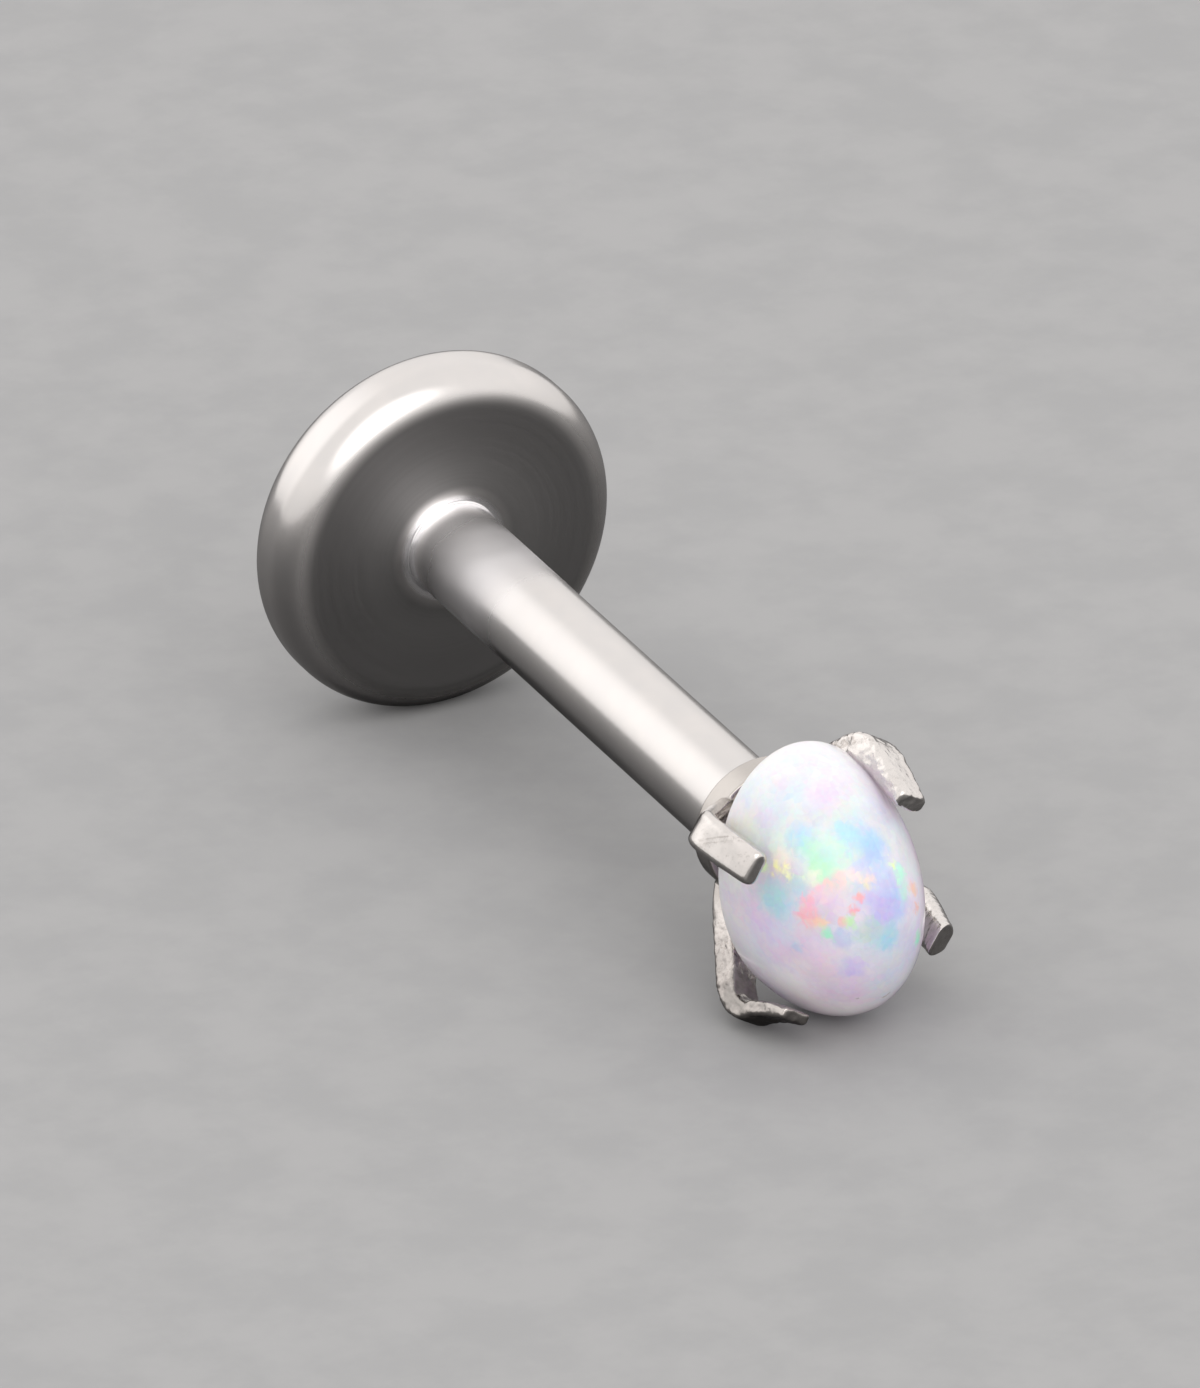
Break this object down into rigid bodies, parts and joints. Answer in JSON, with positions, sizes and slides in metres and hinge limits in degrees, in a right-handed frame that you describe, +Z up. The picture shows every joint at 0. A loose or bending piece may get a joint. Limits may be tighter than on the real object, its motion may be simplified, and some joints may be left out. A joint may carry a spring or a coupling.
{
  "type": "flat back stud",
  "caption": "Body-jewellery stud lying on its side: a flat round disc on a straight post, and an oval domed opal held by bent prongs at the other end.",
  "frame": {"origin": "on the surface the stud lies on, under the middle of its box", "axes": "+Z up from the surface, Y along the stud with the opal towards -Y and the disc towards +Y, X across it"},
  "size_m": [0.0038, 0.01, 0.0039],
  "materials": {
    "polished_steel": "polished surgical steel",
    "cast_steel": "cast steel with a fine rough skin and worn bright edges",
    "opal": "polished milky opal with play of colour"
  },
  "bodies": {
    "root": {"flat_back_post": "polished_steel", "prong_setting": "cast_steel", "opal_cabochon": "opal"}
  },
  "joints": []
}
